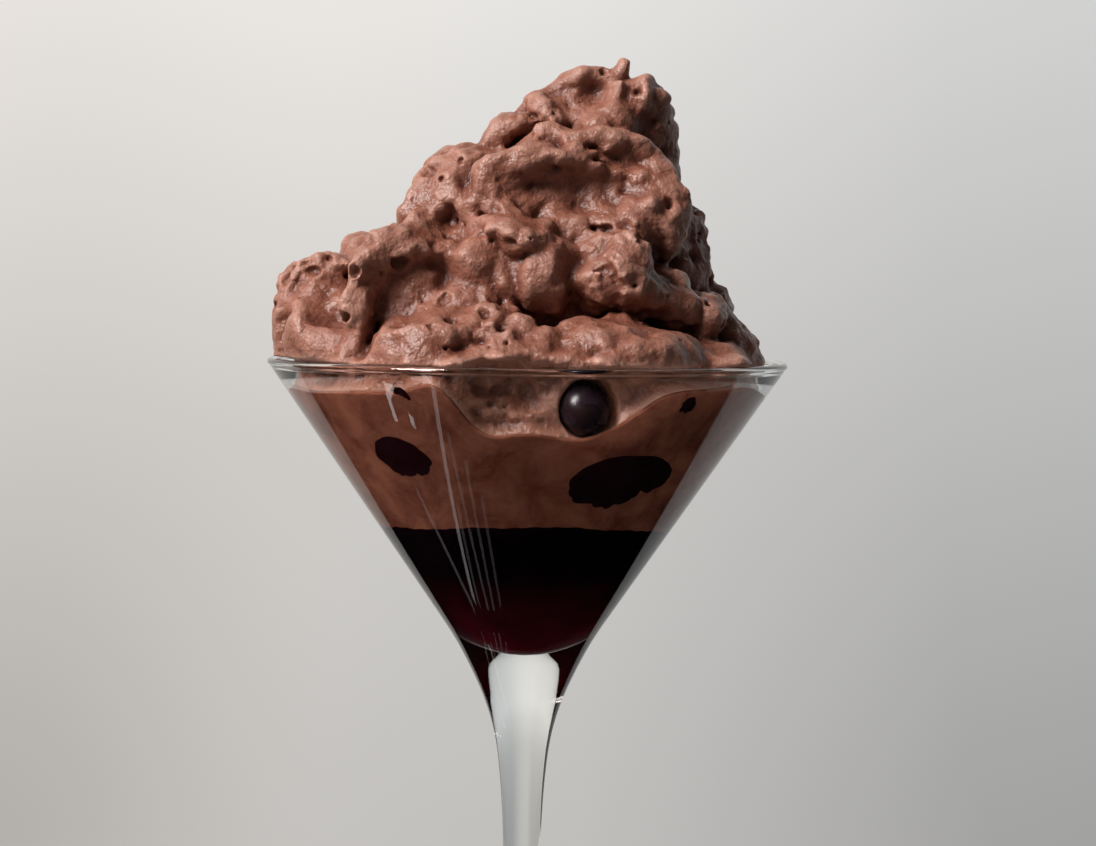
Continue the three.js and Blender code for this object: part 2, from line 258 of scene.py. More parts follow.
# %% Wall of the bowl
CONE_SLOPE = 0.676  # how much the bowl widens for each millimetre of height
WALL_ACROSS = 1.9  # thickness of the wall, measured level
INNER_DEPTH = 62.4  # from the lip to the bottom of the inside
BOTTOM_ROUND = 12  # mm over which the bottom of the inside closes
LIP = WALL_ACROSS / 2
CONE_TILT = math.atan(CONE_SLOPE)
INNER_BOTTOM = RIM_HEIGHT - INNER_DEPTH


def inner_radius(height):
    """The radius of the inside at a height: the cone's, times the root of 1 less e to the power
    of -u / BOTTOM_ROUND, where u is the height above the bottom."""
    cone = RIM_RADIUS - WALL_ACROSS - CONE_SLOPE * (RIM_HEIGHT - LIP - height)
    return cone * np.sqrt(1 - np.exp(-np.maximum(height - INNER_BOTTOM, 0) / BOTTOM_ROUND))


for above in (1, 5, 20, 50):
    out = inner_radius(INNER_BOTTOM + above)
    print(f"{above} mm above its bottom the inside has a radius of {out:.1f} mm")

# %% [markdown]
# ## The line where the mousse leaves the wall
#
# The spoon pressed the mousse on the glass up to a wavy line. Below it the wall is covered, and
# above it the heap stands free behind the glass. The line is a list of depths under the lip
# round the glass, joined without corners by a weighted mean: each azimuth takes the depths near
# it, weighted by a bell curve. A second list does the same for the edge of the sauce.

# %% Contact line and sauce line
CONTACT_LINE = [  # azimuth from the front in degrees, to the right, and depth below the lip
    (-61, 6.2), (-49, 5.2), (-38, 5.1), (-31, 5.5), (-25, 2.6), (-21, 2.6), (-18, 6.5),
    (-15, 10.8), (-12, 13.5), (-8, 14.8), (-4, 13.8), (0, 13.4), (7, 14.1), (12, 15.4),
    (16, 14.5), (21, 12.6), (26, 10.4), (29, 8.2), (33, 5.6), (38, 4.2), (46, 4.0), (53, 4.4),
    (60, 2.8), (76, 5), (95, 9), (112, 13), (128, 10), (144, 6), (162, 9), (180, 13),
    (200, 9), (218, 5), (236, 8), (254, 11), (272, 7), (286, 4.2),
]
SAUCE_LINE = [
    (-60, 35.8), (-30, 34.7), (0, 34.2), (22, 34.4), (49, 35.4), (80, 36.2), (110, 35),
    (140, 36.4), (170, 35), (200, 36.2), (230, 34.8), (265, 36),
]


def line_depth(line, azimuth, width):
    """The depth at azimuths: the mean of the line's depths, each weighted by a bell curve of its
    distance round the circle. The points count by the spacing between them."""
    at, depth = np.array(line, float).T
    gap = (np.roll(at, -1) - np.roll(at, 1)) % 360
    apart = (np.asarray(azimuth)[..., None] - at + 180) % 360 - 180
    weight = gap * np.exp(-0.5 * (apart / (width + 0.25 * gap)) ** 2)
    return (weight * depth).sum(-1) / weight.sum(-1)


def contact_height(azimuth):
    """Height of the line where the mousse leaves the wall."""
    return RIM_HEIGHT - line_depth(CONTACT_LINE, azimuth, 0.8)


def sauce_edge(azimuth):
    """Height of the edge of the sauce on the wall, with its small ripples."""
    ripple = 0.25 * np.sin(np.radians(7 * azimuth)) * np.sin(np.radians(3 * azimuth + 40))
    ripple = ripple + 0.14 * np.sin(np.radians(31 * azimuth)) * np.sin(np.radians(13 * azimuth + 20))
    return RIM_HEIGHT - line_depth(SAUCE_LINE, azimuth, 6) + ripple


def azimuth_of(x, y):
    """Degrees from the front, growing to the right."""
    return np.degrees(np.arctan2(x, -y))


print("contact line", np.round(RIM_HEIGHT - contact_height(np.arange(-60, 61, 15)), 1))

# %% [markdown]
# ## The heap: one field of distances
#
# The heap is dozens of dollops and folds that ran into each other, with bubbles torn open all
# over. A mesh could be pushed about for each of them, but folds and pits that undercut the
# surface would tear it. A field of distances has no such trouble: for every point of a grid it
# holds how far away the surface is, negative inside. Two shapes are joined by the smaller
# distance, a hollow is cut by the larger one, and the mesh is read off at zero in the end.
#
# Each dollop is an ellipsoid. The tables give its middle as x, y and height above the lip, its
# half-sizes, how far its top leans to the right and how knobbly its skin is. They run from the
# core of the heap to its left side, its front, its right side, its top and its back. Spooned
# folds are bent rolls, and the hollows that the spoon left are ellipsoids that are cut away.

# %% Dollops, folds and hollows
DOLLOPS = {
    "core_low": (0, 0, -2, 53, 53, 12, 0, 0.3),
    "core_mid": (4, 6, 14, 33, 30, 18, 0, 0.3),
    "core_top": (14, 6, 36, 15, 14, 21, 0, 0.4),
    "shell": (-44.2, -8, 10, 10, 12, 12.4, -20, 0.7),
    "shell_tongue": (-42, -20, 4, 11, 11, 10, -20, 0.1),
    "back_lobe": (-31.5, 2, 19.6, 10.5, 11, 8.5, 0, 0.3),
    "arch_back": (-27, -16.5, 13, 12, 14, 13.5, 0, 0.25),
    "low_left": (-21, -34, 3, 12, 13, 9, -6, 0.2),
    "left_mass": (-16.5, -6, 32, 9.5, 13, 14.5, 12, 0.9),
    "left_mass_top": (-11.5, -7, 41, 7, 9, 6, 0, 0.8),
    "left_root": (-14, -12, 21, 11, 12, 10, 0, 0.6),
    "ball": (4.2, -26, 18.6, 8.4, 8.5, 7.4, -34, 0.08),
    "ball_striped": (-5.6, -24, 17, 4.8, 8.5, 6.4, -10, 0.05),
    "ball_left": (-11.5, -22.5, 19.5, 6.5, 9.5, 7.5, 0, 0.05),
    "ball_behind": (-4, -20, 17, 9, 9, 7, 0, 0.1),
    "under_ball": (-12, -23, 12.5, 10, 10, 5.5, 0, 1.0),
    "shoulder": (-2.5, -23.5, 27, 8.2, 9.5, 4.2, 14, 0.5),
    "fold_body": (8, -8, 38.5, 17, 13.5, 10, 0, 0.5),
    "floor": (19, -9, 43, 9, 8.6, 6, 0, 0.2),
    "floor_left": (-1, -13, 36, 8, 9, 7, 0, 0.4),
    "valley_floor": (9, -14, 26, 9, 11, 9, 0, 0.3),
    "plate": (21.5, -12, 31, 12, 13, 12.5, 0, 0.45),
    "wet_mass": (20, -21.5, 19, 12, 12.5, 8.6, 14, 1.0),
    "wet_edge": (30, -18, 14, 8.5, 10.5, 5, 20, 0.9),
    "wet_knob": (32.5, -22, 16.5, 3, 5, 3, 0, 0.2),
    "front_dome": (20, -34, 3.4, 16, 13, 8, 4, 0.3),
    "middle_low": (-8, -33, 4.5, 10, 12, 8, 0, 1.0),
    "front_bump": (2.5, -39, 2.5, 4.2, 5.5, 4, 0, 0.2),
    "right_lump": (39, -17, 10.3, 4.8, 8, 6, 15, 0.8),
    "left_low": (-22, -17, 27, 6, 9, 5.5, 0, 0.6),
    "right_end": (44.4, -8, 3.6, 6.4, 11, 6.6, 28, 0.8),
    "right_low": (39, -24, -1.5, 11, 12, 5, 0, 0.1),
    "right_back_1": (26.2, 3, 51, 6, 9, 8, 0, 0.9),
    "right_back_2": (28.2, 4, 41, 5.6, 9, 6.5, 0, 0.9),
    "right_back_3": (31.2, 3, 29.6, 6.6, 9, 5.6, 0, 0.9),
    "right_back_4": (31.6, 3, 21, 7.6, 12, 8, 0, 0.9),
    "right_back_5": (35.6, 8, 9, 10.5, 16, 8.6, 10, 0.9),
    "top": (12.5, -2, 57.6, 6.8, 7.5, 5.9, -4, 0.1),
    "top_under": (16, -4, 51.5, 9.5, 9, 6, 0, 0.3),
    "top_nub": (19, -8, 57, 2.8, 4.2, 4.2, 10, 0.1),
    "top_right": (25, -2, 56.6, 5, 6, 5.6, 10, 0.6),
    "top_left": (5, -3, 52.2, 5.6, 7, 4.6, 10, 0.8),
    "top_left_end": (-5.2, -3, 49.6, 5.6, 7.5, 3.9, -32, 0.7),
    "top_left_high": (3.5, -3, 54.5, 4.5, 6, 4, -20, 0.6),
    "back_high": (12, 12, 47, 13, 12, 12, 0, 0.6),
    "back_curl": (18, 22, 30, 17, 13, 14, 12, 0.8),
    "back_mid": (-5, 22, 25, 17, 15, 14, -15, 0.6),
    "back_left": (-24, 24, 10, 18, 17, 13, -10, 0.8),
    "back_low": (2, 37, 5, 25, 14, 11, 0, 0.4),
    "back_right": (27, 28, 9, 18, 17, 13, 15, 0.8),
}
SCOOPS = {
    "shell_hollow": (-42, -26, 13.5, 6, 7, 6, -25, 0.4),
    "arch_hollow": (-27, -37.5, 15, 8, 7.6, 8.6, -10, 0.2),
    "scoop": (11, -30.5, 38, 14.5, 12, 7.4, -8, 0.4),
    "valley": (9, -36, 27, 4.5, 9, 9, -12, 0.3),
    "under_ridge": (28.5, -27, 23.8, 3.2, 8, 4, 25, 0.3),
    "cave": (24, -39, 10.2, 12, 8, 0.8, 6, 0.2),
    "top_hollow": (14.5, -14, 58.6, 6.6, 8.6, 5, -10, 0.05),
    "ledge_hollow": (19, -21, 45, 6, 5, 1.6, 0, 0.2),
    "left_hollow": (-18, -25, 30.6, 5.4, 7.5, 3.4, 5, 0.6),
    "front_hollow": (1, -53.5, -5, 18, 10, 8.5, 0, 0.6),
    "back_scoop": (10, 38, 38, 15, 9, 7, 20, 0.15),
}
FOLDS = {  # where it starts, what pulls it round, where it ends, two half-thicknesses, knobbly
    "shell_rim": ((-52, -12, 2), (-54.6, -13, 23.5), (-40, -13, 19.5), 3.1, 3, 0.9),
    "arch": ((-37, -31, -1), (-39.5, -32, 29), (-20, -22.5, 23.5), 4, 4, 0.7),
    "drape": ((-16, -17, 39), (-12, -22, 33), (-10.5, -22, 25), 2, 2.6, 0.3),
    "lip": ((-8, -18.5, 34), (-10, -19.5, 46), (18, -17.5, 43.5), 4, 3.8, 0.9),
    "lip_under": ((-8.5, -20.5, 36), (-6, -23, 31), (2.5, -24, 29), 3.6, 2.8, 0.9),
    "ledge": ((3, -13, 48.6), (15, -17.5, 52), (26, -13, 44.6), 2.4, 2.8, 0.5),
    "ridge": ((26, -14, 42.5), (33.5, -17, 37), (29.5, -20, 27.5), 2.8, 3.8, 0.3),
    "tip": ((16, -2, 60.5), (20.5, -2, 61), (21.2, -2, 65.8), 3, 1.6, 0.1),
    "top_slope": ((1, -3, 53.8), (6, -3, 58.4), (12, -3, 61.6), 2.7, 2.9, 0.6),
    "top_left_roll": ((-9.5, -6, 46.5), (-8, -7, 56), (1, -7, 49), 2.4, 2, 0.6),
    "left_roll": ((-25.5, -13, 27.5), (-27.5, -13, 35), (-20, -12, 37), 2.6, 2.2, 0.5),
    "back_roll": ((-20, 36, 10), (-6, 40, 34), (22, 36, 20), 5.2, 4.4, 0.8),
}
print(f"{len(DOLLOPS)} dollops, {len(FOLDS)} folds, {len(SCOOPS)} hollows")

# %% The grid and how shapes melt into it
CELL = 0.46  # mm between the grid's points
FAR = 9.0  # mm, the distance where nothing is near
MARGIN = 5  # mm round a shape that its distances are worked out for
MELT = 2.0  # mm over which two dollops run into each other
CUT_MELT = 3.2  # mm over which the edge of a hollow is rounded
HEAP_BOTTOM = RIM_HEIGHT - 18.6
heap_low = (-RIM_RADIUS - 1, -RIM_RADIUS - 1, HEAP_BOTTOM - 2)
heap_high = (RIM_RADIUS + 1, RIM_RADIUS + 1, RIM_HEIGHT + 69)
axes = [np.arange(a, b, CELL, dtype=np.float32) for a, b in zip(heap_low, heap_high)]
FILL_TOP = RIM_HEIGHT - 2.5  # the bowl is full up to here
field = np.full([len(axis) for axis in axes], FAR, np.float32)
field = np.minimum(field, axes[2] - FILL_TOP)
knobbly = np.full_like(field, 0.5)


def block(low, high):
    """The part of the grid between two corners: its slices, and its x, y and z as arrays."""
    cuts = tuple(slice(*np.searchsorted(axis, ends)) for axis, *ends in zip(axes, low, high))
    x, y, z = (axis[cut] for axis, cut in zip(axes, cuts))
    return cuts, x[:, None, None], y[None, :, None], z[None, None, :]


def melt(cuts, shape, knobs, width=MELT, cut_away=False):
    """Joins a shape to the field, or cuts it away. Where the two distances are closer than the
    width, the smaller one gives way to a rounded mean of both."""
    sign = -1 if cut_away else 1
    old = sign * field[cuts]
    share = np.clip(0.5 + 0.5 * (old - shape) / width, 0, 1)
    field[cuts] = sign * (old + (shape - old) * share - width * share * (1 - share))
    knobbly[cuts] += (knobs - knobbly[cuts]) * share


def ellipsoid(x, y, z, middle, half, lean):
    """Distance from an ellipsoid: k (k - 1) / g, with k the point's length in half-sizes and g
    the length of the same divided by the half-sizes once more."""
    across, up = x - middle[0], z - middle[2] - RIM_HEIGHT
    c, s = math.cos(math.radians(lean)), math.sin(math.radians(lean))
    along = [c * across - s * up, y - middle[1], s * across + c * up]
    k = np.sqrt(sum((a / h) ** 2 for a, h in zip(along, half)))
    g = np.sqrt(sum((a / h**2) ** 2 for a, h in zip(along, half)))
    return k * (k - 1) / (g + 1e-6)


def dollop(size, cut_away=False):
    """Melts one ellipsoid of the tables into the field."""
    middle, half, lean, knobs = np.array(size[:3]), size[3:6], size[6], size[7]
    span = max(half[0], half[2]) if lean else half[0]
    out = np.array([span, half[1], max(span, half[2]) if lean else half[2]]) + MARGIN
    centre = middle + (0, 0, RIM_HEIGHT)
    cuts, x, y, z = block(centre - out, centre + out)
    width = CUT_MELT if cut_away else MELT
    melt(cuts, ellipsoid(x, y, z, middle, half, lean), knobs, width, cut_away)


def fold(start, pull, end, thick_start, thick_end, knobs, steps=14):
    """Melts a bent roll into the field. The line is a Bezier curve with one handle, taken as
    short straight stretches. The distance from a stretch is that from its nearest point, less
    the thickness there."""
    t = np.linspace(0, 1, steps + 1)[:, None]
    ends = (1 - t) ** 2 * np.array(start) + 2 * t * (1 - t) * np.array(pull) + t**2 * np.array(end)
    ends[:, 2] += RIM_HEIGHT
    thick = thick_start + (thick_end - thick_start) * t[:, 0]
    out = max(thick) + MARGIN
    cuts, x, y, z = block(ends.min(0) - out, ends.max(0) + out)
    roll = np.full((x.size, y.size, z.size), FAR, np.float32)
    for a, b, r0, r1 in zip(ends[:-1], ends[1:], thick[:-1], thick[1:]):
        near, x, y, z = block(np.minimum(a, b) - out, np.maximum(a, b) + out)
        along = b - a
        rel = [x - a[0], y - a[1], z - a[2]]
        at = np.clip(sum(r * d for r, d in zip(rel, along)) / (along @ along), 0, 1)
        gap = np.sqrt(sum((r - at * d) ** 2 for r, d in zip(rel, along)))
        inner = tuple(slice(n.start - c.start, n.stop - c.start) for n, c in zip(near, cuts))
        roll[inner] = np.minimum(roll[inner], gap - (r0 + (r1 - r0) * at))
    melt(cuts, roll, knobs)


for size in DOLLOPS.values():
    dollop(size)
for size in FOLDS.values():
    fold(*size)
for size in SCOOPS.values():
    dollop(size, cut_away=True)
print(f"grid of {field.size / 1e6:.1f} million points, {np.mean(field < 0) * 100:.0f}% inside")

# %% [markdown]
# ### Bubble pits
#
# Bubbles that burst at the skin leave pits 1 to 3 mm wide, some with a raised ring. The largest
# ones are listed by x and height above the lip, and the skin is found from the front. The others
# fall anywhere on the torn parts. They are cut before the forms are bent, which makes them as
# uneven as real ones.

# %% Bubble pits
random = np.random.default_rng(5)
SKIN = 3.4  # mm, how deep the details of the skin reach
BIG_PITS = [  # x, height above the lip, radius, height of the ring, all in mm
    (-53.4, 16.5, 1.6, 0.3), (-55, 10.8, 1.4, 0.2), (-48.1, 21.2, 1.0, 0.2), (-43, 22, 0.9, 0.1),
    (-46.7, 18.3, 1.3, 0.2), (-37, 18.8, 1.4, 0.7), (-39.2, 10.1, 1.6, 0.7), (-25.5, 29, 1.4, 0.6),
    (-21, 40.9, 1.7, 0.2), (-15.7, 46, 0.9, 0.1), (-18.5, 39.5, 1.2, 0.1), (-28, 21, 1.6, 0.2),
    (-4.3, 25.5, 1.0, 0.0), (-8, 25.2, 0.6, 0.0), (-0.5, 27, 0.8, 0.0), (2.2, 26.7, 0.6, 0.0),
    (-1.5, 22.2, 0.6, 0.0),
    (6.8, 41.8, 1.0, 0.1), (15, 28.1, 1.3, 0.1), (16.4, 28.4, 1.2, 0.1), (17.6, 28.8, 1.0, 0.1),
    (16, 19.8, 1.6, 0.2), (22, 17, 1.1, 0.2), (39, 13.4, 1.3, 0.5), (42, 8, 1.2, 0.4),
    (-20, 8, 0.9, 0.1), (-16, 10, 1.0, 0.1), (-13, 6, 0.8, 0.1), (-10, 11, 1.0, 0.1),
    (-7, 8, 0.9, 0.1), (-5, 4, 0.8, 0.1), (-17, 4, 0.7, 0.1), (-9, 3, 0.9, 0.1),
    (16.3, 62.6, 1.1, 0.1), (9, 54.4, 1.1, 0.1), (0, 44, 0.9, 0.1), (30, 35, 1.2, 0.1),
]
PITS = 520
PIT_RADII = (0.5, 0.6, 1.3)  # mm: smallest, most common, largest


def near_skin(depth):
    """The grid points near the surface: their numbers, and their places in mm."""
    numbers = np.nonzero(np.abs(field) < depth)
    return numbers, np.stack([axis[at] for axis, at in zip(axes, numbers)], 1)


def skin_in_front(x, height):
    """The point where the skin is first met from the front, at an x and a height above the lip."""
    i, k = (np.searchsorted(axis, v) for axis, v in zip(axes[::2], (x, height + RIM_HEIGHT)))
    return np.array([x, axes[1][np.argmax(field[i, :, k] < 0)], height + RIM_HEIGHT])


def pit(middle, radius, ring):
    """Cuts a ball out of the skin, and raises a ring round it by a bell curve of the distance
    from the ball's edge."""
    cuts, x, y, z = block(middle - 2.2 * radius, middle + 2.2 * radius)
    if 0 in field[cuts].shape:
        return
    away = np.sqrt((x - middle[0]) ** 2 + (y - middle[1]) ** 2 + (z - middle[2]) ** 2)
    field[cuts] -= ring * np.exp(-(((away - 1.3 * radius) / (0.3 * radius)) ** 2))
    melt(cuts, away - radius, 0.3, width=0.3, cut_away=True)


for x, height, radius, ring in BIG_PITS:
    pit(skin_in_front(x, height), radius, ring)
skin, skin_points = near_skin(0.3)
chance = 0.05 + knobbly[skin] ** 2
for at in random.choice(len(skin_points), PITS, replace=False, p=chance / chance.sum()):
    pit(skin_points[at], random.triangular(*PIT_RADII), 0.08 * random.random())
print(f"{len(BIG_PITS)} large pits and {PITS} small ones")

# %% [markdown]
# ### Bending, knobs and ripples
#
# Ellipsoids and rolls are too even for spooned foam. So each point near the surface looks up its
# distance a little way off, by smooth noise: that bends every form and every crease. Then the
# skin itself is raised. Torn foam has knobs 3 to 6 mm across with sharp valleys between them.
# Random points, one in each cube of a lattice, give that: a rounded bump round each point, which
# meets its neighbours in a crease. Smooth noise at four sizes adds the ripples. All of this only
# matters near the surface, so it is worked out for the points of the grid close to it.

# %% Noise on points
random = np.random.default_rng(21)


def cell_bumps(points, size):
    """A rounded bump round the nearest of random points, one in each cube: 1 at the point, less
    1.8 times the squared distance in cube sizes."""
    at = points / size
    home = np.floor(at).astype(int)
    low = home.min(0) - 1
    scatter = random.random((*(home.max(0) - low + 2), 3)).astype(np.float32)
    nearest = np.full(len(points), 9, np.float32)
    for step in itertools.product((-1, 0, 1), repeat=3):
        cube = home + step
        spot = cube + scatter[tuple((cube - low).T)]
        nearest = np.minimum(nearest, ((spot - at) ** 2).sum(1))
    return 1 - 1.8 * nearest


def mixed_corners(values, home, part):
    """The values at the eight corners of each point's cube, mixed by how near each corner is."""
    total = np.zeros((len(home), *values.shape[3:]), np.float32)
    for step in itertools.product((0, 1), repeat=3):
        share = np.prod(np.where(step, part, 1 - part), axis=1)
        found = values[tuple((home + step).T)]
        total += (share * found.T).T
    return total


def smooth_noise(points, size, kinds=None):
    """Random numbers from -1 to 1 on a lattice, eased from one corner of a cube to the next."""
    at = points / size
    home = np.floor(at).astype(int)
    part = at - home
    home -= home.min(0)
    lattice = (*(home.max(0) + 2), *([kinds] if kinds else []))
    values = random.uniform(-1, 1, lattice).astype(np.float32)
    return mixed_corners(values, home, part * part * (3 - 2 * part))


# %% Bending the forms
BENDS = [(10, 1.5), (5, 1.0), (2.3, 0.45)]  # mm across, mm of shift

skin, skin_points = near_skin(SKIN)
shifted = skin_points + sum(height * smooth_noise(skin_points, size, 3) for size, height in BENDS)
at = (shifted - np.array([axis[0] for axis in axes])) / CELL
at = np.clip(at, 0, np.array(field.shape) - 2.001)
home = np.floor(at).astype(int)
field[skin] = mixed_corners(field, home, at - home)
most = sum(height for _, height in BENDS)
print(f"{len(skin_points) / 1e6:.1f} million points near the skin, bent by up to {most} mm")

# %% Knobs, burst bubbles and ripples
KNOB = 5.4  # mm from one knob to the next
KNOB_HEIGHT = 0.8
BLOB = 3.0  # mm from one small knob to the next
BLOB_HEIGHT = 0.42
BUBBLE = 2.9  # mm from one burst bubble to the next
BUBBLE_DEPTH = 0.75
RIPPLES = [(8, 0.7), (3.4, 0.4), (1.9, 0.24), (1.1, 0.13)]  # mm across, mm high

skin, skin_points = near_skin(SKIN)
torn = np.clip(knobbly[skin] * (1 + 0.6 * smooth_noise(skin_points, 12)), 0, 1.2)
burst = np.clip(2 * torn - 1.1 + smooth_noise(skin_points, 9), 0, 1)
raised = KNOB_HEIGHT * (0.15 + torn) * (cell_bumps(skin_points, KNOB) - 0.35)
raised += BLOB_HEIGHT * (0.2 + torn) * (1 - burst) * (cell_bumps(skin_points, BLOB) - 0.4)
raised -= BUBBLE_DEPTH * burst * (cell_bumps(skin_points, BUBBLE) - 0.4)
for size, height in RIPPLES:
    raised += height * (0.35 + 0.65 * torn) * smooth_noise(skin_points, size)
field[skin] -= raised
print(f"raised by up to {raised.max():.1f} mm")

# %% [markdown]
# ### What the glass allows
#
# Below the contact line the heap stays just inside the pressed mousse, which is a piece of its
# own. Above that line it leaves the wall in a bumpy curve, and above the lip it may lean out a
# little over the edge. The limit is one more distance field, and the larger of the two is kept.
# In front, a whole berry sits in a pocket of its own that is open towards the glass.

# %% Limits of the heap
INSIDE_WALL = 0.6  # mm that the heap stays behind the pressed mousse
LEAVES_WALL = 0.34  # how fast it leaves the wall above the contact line
WALL_BUMPS = [(6, 1.2), (2.8, 0.7), (1.4, 0.25)]  # mm across, mm deep, above the contact line
OVERHANG = 57.2  # mm from the axis, above the lip
OVER_LIP = 0.4  # mm above the lip where the overhang begins
BUMPS_FULL = 2.5  # mm above the contact line where the bumps are at their deepest
LIMIT_MELT = 0.8  # mm over which the heap runs into its limit

x, y, z = (axis.reshape(shape) for axis, shape in zip(axes, ((-1, 1, 1), (1, -1, 1), (1, 1, -1))))
radius = np.hypot(x, y)
contact = contact_height(azimuth_of(x, y)[..., 0])[..., None].astype(np.float32)
free = np.maximum(np.minimum(z, RIM_HEIGHT) - contact, 0)
wall = inner_radius(np.minimum(z, RIM_HEIGHT)) - INSIDE_WALL - LEAVES_WALL * free
reach = np.where(z > RIM_HEIGHT + OVER_LIP, OVERHANG, wall)
limit = ((radius - reach) * math.cos(CONE_TILT)).astype(np.float32)
bumpy = np.nonzero((np.abs(limit) < 4) & (free > 0) & (z < RIM_HEIGHT))
bumpy_points = np.stack([axis[at] for axis, at in zip(axes, bumpy)], 1)
bumps = sum(height * (0.7 + smooth_noise(bumpy_points, size)) for size, height in WALL_BUMPS)
limit[bumpy] += bumps * np.clip(free[bumpy] / BUMPS_FULL, 0, 1)
share = np.clip(0.5 - 0.5 * (field - limit) / LIMIT_MELT, 0, 1)
field = field + (limit - field) * share + LIMIT_MELT * share * (1 - share)
field = np.maximum(field, HEAP_BOTTOM - z).astype(np.float32)
print(f"{(field < 0).sum() * CELL**3 / 1000:.0f} cubic centimetres of mousse from the contact line up")

# %% Pocket of the front berry
FRONT_BERRY = {"azimuth": 16.2, "depth": 8.6, "inside": 7.2, "radius": 5.4, "height": 5.7}
POCKET = 1.3  # mm that its pocket is wider than the berry, towards the glass


def bowl_place(azimuth, level, radius):
    """The point at an azimuth, a height and a distance from the axis."""
    angle = math.radians(azimuth)
    return np.array([radius * math.sin(angle), -radius * math.cos(angle), level])


def front_berry_place(outward=0.0):
    """The middle of the berry in front, or a point further out along its azimuth."""
    level = RIM_HEIGHT - FRONT_BERRY["depth"]
    away = float(inner_radius(level)) - FRONT_BERRY["inside"] + outward
    return bowl_place(FRONT_BERRY["azimuth"], level, away)


for outward, wider in ((0, -0.1), (2.2, 0.5), (4.5, POCKET)):
    middle = front_berry_place(outward)
    half = np.array([FRONT_BERRY["radius"], FRONT_BERRY["radius"], FRONT_BERRY["height"]]) + wider
    cuts, x, y, z = block(middle - half - 2, middle + half + 2)
    melt(cuts, ellipsoid(x, y, z, middle - (0, 0, RIM_HEIGHT), half, 0), 0.3, 0.5, cut_away=True)

# %% [markdown]
# ### Reading off the mesh
#
# Each cube of the grid whose corners lie on both sides of the surface gets one point, the mean
# of where its edges are crossed. Each edge of the grid that is crossed gets one four-sided face,
# which joins the points of the four cubes round it. This closes by itself, with even faces, and
# is done for all cubes at once.

# %% Surface of a field
CORNERS = np.array(list(itertools.product((0, 1), repeat=3)))
EDGES = [(a, b) for a, b in itertools.combinations(range(8), 2)
         if np.abs(CORNERS[a] - CORNERS[b]).sum() == 1]


def surface(values):
    """The points, in grid steps, and the faces where the values are 0."""
    inside = values < 0
    low = tuple(slice(0, n - 1) for n in values.shape)
    count = sum(
        inside[tuple(slice(c, n - 1 + c) for c, n in zip(corner, values.shape))].astype(np.int8)
        for corner in CORNERS
    )
    cubes = np.argwhere((count > 0) & (count < 8))
    corner_values = np.stack([values[tuple((cubes + corner).T)] for corner in CORNERS], 1)
    total = np.zeros((len(cubes), 3))
    crossings = np.zeros((len(cubes), 1))
    for a, b in EDGES:
        va, vb = corner_values[:, a, None], corner_values[:, b, None]
        crossed = (va < 0) != (vb < 0)
        at = np.where(crossed, va / np.where(crossed, va - vb, 1), 0)
        total += np.where(crossed, CORNERS[a] + at * (CORNERS[b] - CORNERS[a]), 0)
        crossings += crossed
    number = np.full(count.shape, -1)
    number[tuple(cubes.T)] = np.arange(len(cubes))
    faces = []
    for axis in range(3):
        second, third = (axis + 1) % 3, (axis + 2) % 3
        here = inside[low]
        there = np.moveaxis(np.moveaxis(inside, axis, 0)[1:], 0, axis)
        there = there[tuple(slice(0, n) for n in here.shape)]
        edges = np.argwhere(here != there)
        edges = edges[(edges[:, second] > 0) & (edges[:, third] > 0)]
        outward = here[tuple(edges.T)]
        ring = []
        for back_second, back_third in ((1, 1), (0, 1), (0, 0), (1, 0)):
            cube = edges.copy()
            cube[:, second] -= back_second
            cube[:, third] -= back_third
            ring.append(number[tuple(cube.T)])
        ring = np.stack(ring, 1)
        ring[~outward] = ring[~outward][:, ::-1]
        faces.append(ring)
    return cubes + total / crossings, np.concatenate(faces)


heap_points, heap_faces = surface(field)
print(f"{len(heap_faces)} faces, {heap_faces.min()} is the smallest point number")

# %% [markdown]
# ### How hollow the surface is
#
# A point in a crease has more mousse round it than a point on a knob. The mean of the field in
# a small box round the point measures that, and running sums give the mean for the whole grid
# at once. The result goes into the mesh as a value for the material, which uses it to paint shade
# into the creases and a lighter sheen onto the ridges.
#
# A grid spends as many triangles on flat skin as on a crease. At the end a modifier merges
# those on the flat skin, and the creases and pits stay sharp.

# %% Heap
HOLLOW_BOX = 2.4  # mm from the point to the side of the box
HOLLOW_FULL = 1.1  # mm of mean distance that counts as a deep crease
HEAP_TRIANGLES = 192000  # what is left after merging


def box_mean(values, steps):
    """The mean over a box of 2 steps + 1 points each way, from sums that run along each axis."""
    for axis in range(3):
        padding = [(steps + 1, steps) if a == axis else (0, 0) for a in range(3)]
        sums = np.cumsum(np.pad(values, padding, mode="edge"), axis=axis, dtype=np.float32)
        ahead = np.take(sums, range(2 * steps + 1, sums.shape[axis]), axis=axis)
        behind = np.take(sums, range(0, sums.shape[axis] - 2 * steps - 1), axis=axis)
        values = (ahead - behind) / (2 * steps + 1)
    return values


mean = box_mean(np.clip(field, -3, 3), round(HOLLOW_BOX / CELL))
nearest = tuple(np.round(heap_points).astype(int).T)
hollow = np.clip(-mean[nearest] / HOLLOW_FULL, -1, 1)
heap = piece(
    "mousse_heap", heap_points * CELL + heap_low, heap_faces.tolist(), "mousse", "mousse",
    spooned_mousse, {"hollow": hollow},
)
fewer = heap.modifiers.new("fewer triangles where it is smooth", "DECIMATE")
fewer.ratio = min(1, HEAP_TRIANGLES / (2 * len(heap_faces)))
print(f"{fewer.ratio:.0%} of the heap's triangles are kept")

# %% [markdown]
# ## The mousse pressed on the wall
#
# Seen through the glass, this mousse is flat, darker and yellower than the heap, because no air
# lies between. It is a profile carried round the axis: up the wall, over a small rounded edge at
# the contact line, and back down inside the heap, where it closes. It reaches a little into the
# wall, so that the glass really lies on it.

